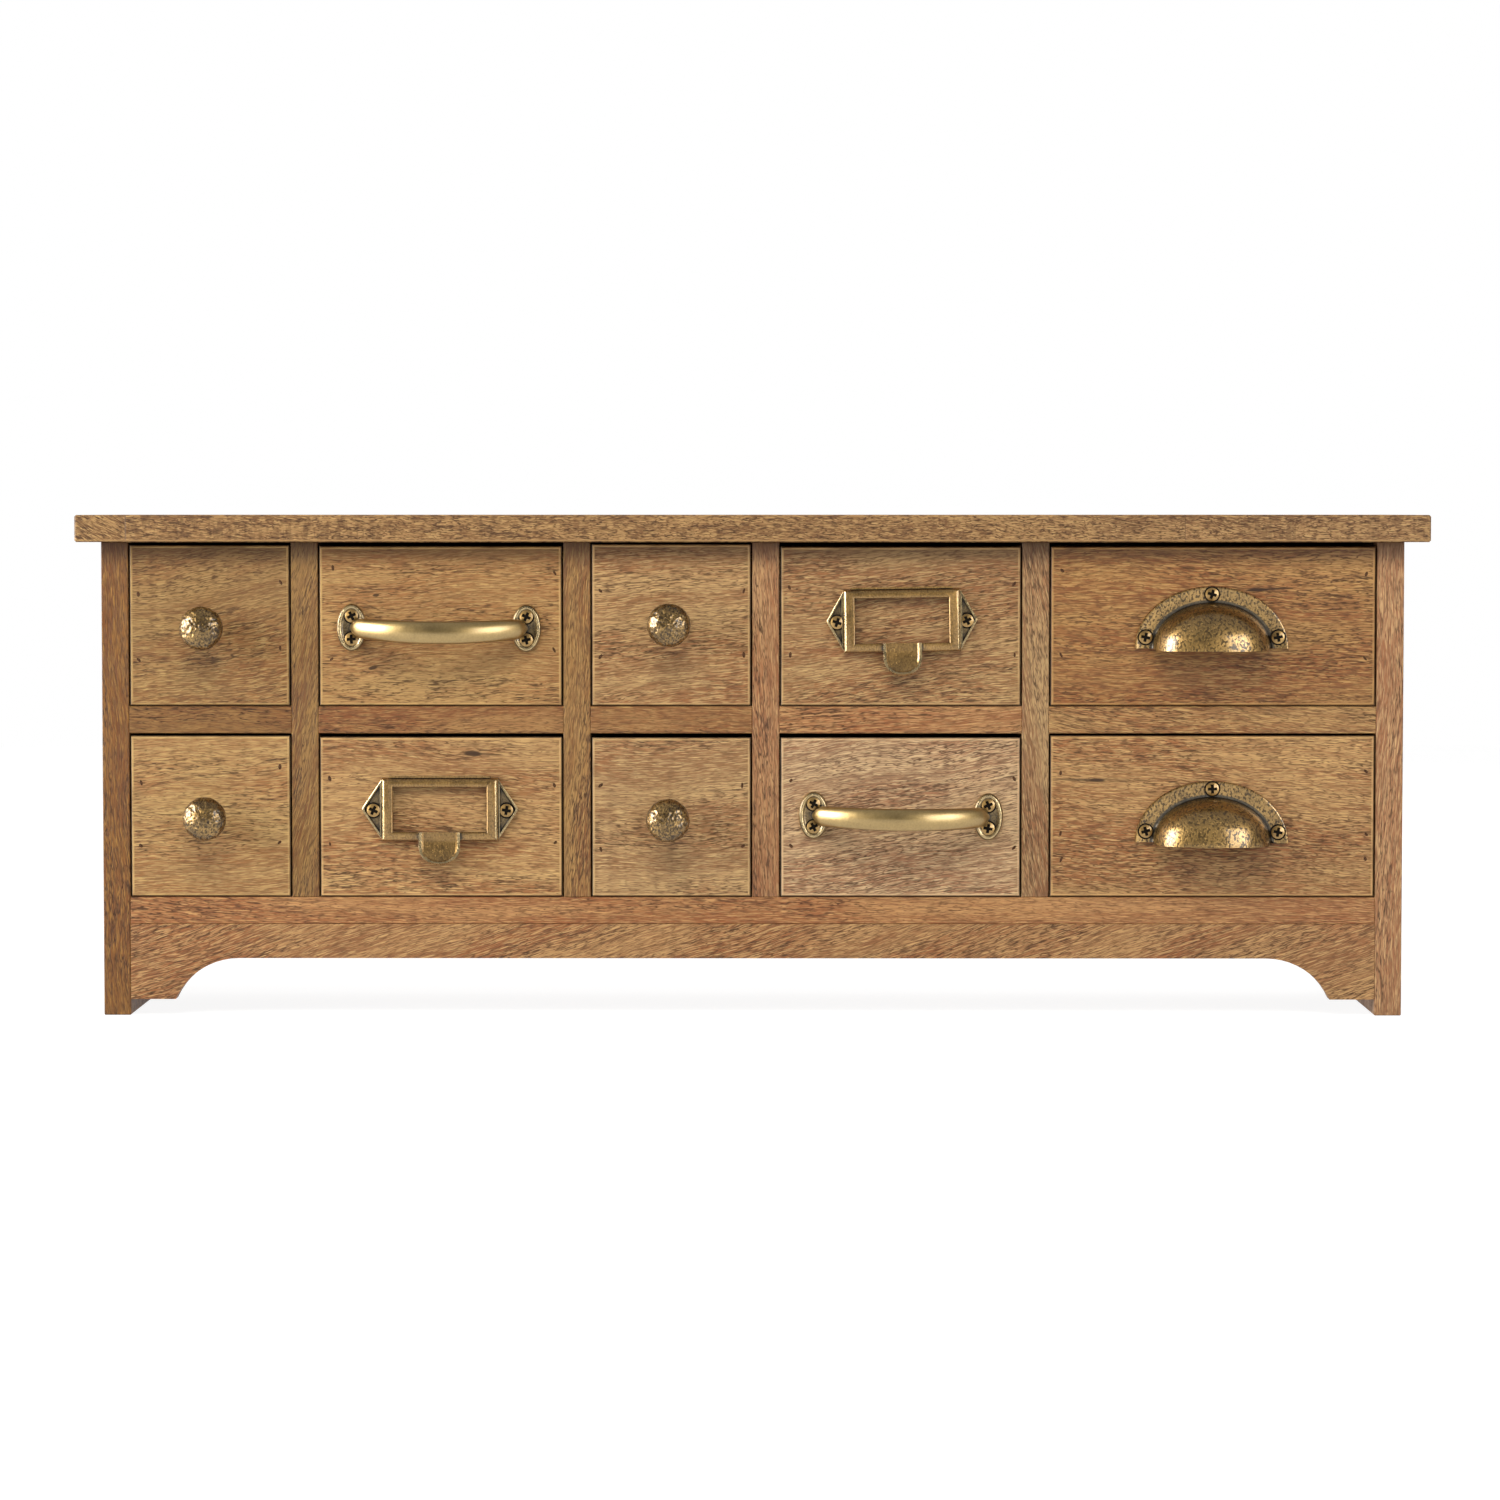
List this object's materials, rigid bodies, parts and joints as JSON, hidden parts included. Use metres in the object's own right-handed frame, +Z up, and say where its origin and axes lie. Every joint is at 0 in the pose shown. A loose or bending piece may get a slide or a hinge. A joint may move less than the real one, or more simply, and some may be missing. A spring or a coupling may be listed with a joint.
{
  "type": "seed storage cabinet",
  "caption": "Tabletop wooden seed cabinet with two rows of small drawers of three widths, mixed antique brass pulls, an overhanging top and an arched apron.",
  "frame": {"origin": "bottom centre of the whole cabinet's bounding box, pulls included, on the surface it stands on", "axes": "+X to the viewer's right along the cabinet's length, +Y towards the back, +Z up; the drawers open towards -Y"},
  "size_m": [0.8, 0.1994, 0.2975],
  "materials": {
    "case_wood": "waxed mid-brown hardwood, open grain",
    "top_wood": "waxed mid-brown hardwood, open grain, joined from staves",
    "drawer_front_wood": "waxed light tan hardwood, open grain along X",
    "drawer_box_wood": "unfinished light softwood",
    "plywood": "unfinished thin plywood",
    "antique_brass": "cast brass with a dark patina in its hollows and worn bright edges",
    "screw_brass": "dulled brass screws with a cross recess"
  },
  "bodies": {
    "cabinet_case": {"top_board": "top_wood", "left_side": "case_wood", "right_side": "case_wood", "bottom_board": "case_wood", "front_apron": "case_wood", "back_panel": "plywood", "divider_1": "case_wood", "divider_2": "case_wood", "divider_3": "case_wood", "divider_4": "case_wood", "shelf_1": "case_wood", "shelf_2": "case_wood", "shelf_3": "case_wood", "shelf_4": "case_wood", "shelf_5": "case_wood"},
    "upper_drawer_1": {"upper_drawer_1_front": "drawer_front_wood", "upper_drawer_1_box": "drawer_box_wood", "upper_drawer_1_knob": "antique_brass", "upper_drawer_1_screws": "screw_brass"},
    "lower_drawer_1": {"lower_drawer_1_front": "drawer_front_wood", "lower_drawer_1_box": "drawer_box_wood", "lower_drawer_1_knob": "antique_brass", "lower_drawer_1_screws": "screw_brass"},
    "upper_drawer_2": {"upper_drawer_2_front": "drawer_front_wood", "upper_drawer_2_box": "drawer_box_wood", "upper_drawer_2_handle": "antique_brass", "upper_drawer_2_screws": "screw_brass"},
    "lower_drawer_2": {"lower_drawer_2_front": "drawer_front_wood", "lower_drawer_2_box": "drawer_box_wood", "lower_drawer_2_card_pull": "antique_brass", "lower_drawer_2_screws": "screw_brass"},
    "upper_drawer_3": {"upper_drawer_3_front": "drawer_front_wood", "upper_drawer_3_box": "drawer_box_wood", "upper_drawer_3_knob": "antique_brass", "upper_drawer_3_screws": "screw_brass"},
    "lower_drawer_3": {"lower_drawer_3_front": "drawer_front_wood", "lower_drawer_3_box": "drawer_box_wood", "lower_drawer_3_knob": "antique_brass", "lower_drawer_3_screws": "screw_brass"},
    "upper_drawer_4": {"upper_drawer_4_front": "drawer_front_wood", "upper_drawer_4_box": "drawer_box_wood", "upper_drawer_4_card_pull": "antique_brass", "upper_drawer_4_screws": "screw_brass"},
    "lower_drawer_4": {"lower_drawer_4_front": "drawer_front_wood", "lower_drawer_4_box": "drawer_box_wood", "lower_drawer_4_handle": "antique_brass", "lower_drawer_4_screws": "screw_brass"},
    "upper_drawer_5": {"upper_drawer_5_front": "drawer_front_wood", "upper_drawer_5_box": "drawer_box_wood", "upper_drawer_5_cup_pull": "antique_brass", "upper_drawer_5_screws": "screw_brass"},
    "lower_drawer_5": {"lower_drawer_5_front": "drawer_front_wood", "lower_drawer_5_box": "drawer_box_wood", "lower_drawer_5_cup_pull": "antique_brass", "lower_drawer_5_screws": "screw_brass"}
  },
  "joints": [
    {"name": "upper_drawer_1_slide", "type": "slide", "parent": "cabinet_case", "child": "upper_drawer_1", "axis": [0, -1, 0], "range_m": [0, 0.13]},
    {"name": "lower_drawer_1_slide", "type": "slide", "parent": "cabinet_case", "child": "lower_drawer_1", "axis": [0, -1, 0], "range_m": [0, 0.13]},
    {"name": "upper_drawer_2_slide", "type": "slide", "parent": "cabinet_case", "child": "upper_drawer_2", "axis": [0, -1, 0], "range_m": [0, 0.13]},
    {"name": "lower_drawer_2_slide", "type": "slide", "parent": "cabinet_case", "child": "lower_drawer_2", "axis": [0, -1, 0], "range_m": [0, 0.13]},
    {"name": "upper_drawer_3_slide", "type": "slide", "parent": "cabinet_case", "child": "upper_drawer_3", "axis": [0, -1, 0], "range_m": [0, 0.13]},
    {"name": "lower_drawer_3_slide", "type": "slide", "parent": "cabinet_case", "child": "lower_drawer_3", "axis": [0, -1, 0], "range_m": [0, 0.13]},
    {"name": "upper_drawer_4_slide", "type": "slide", "parent": "cabinet_case", "child": "upper_drawer_4", "axis": [0, -1, 0], "range_m": [0, 0.13]},
    {"name": "lower_drawer_4_slide", "type": "slide", "parent": "cabinet_case", "child": "lower_drawer_4", "axis": [0, -1, 0], "range_m": [0, 0.13]},
    {"name": "upper_drawer_5_slide", "type": "slide", "parent": "cabinet_case", "child": "upper_drawer_5", "axis": [0, -1, 0], "range_m": [0, 0.13]},
    {"name": "lower_drawer_5_slide", "type": "slide", "parent": "cabinet_case", "child": "lower_drawer_5", "axis": [0, -1, 0], "range_m": [0, 0.13]}
  ]
}
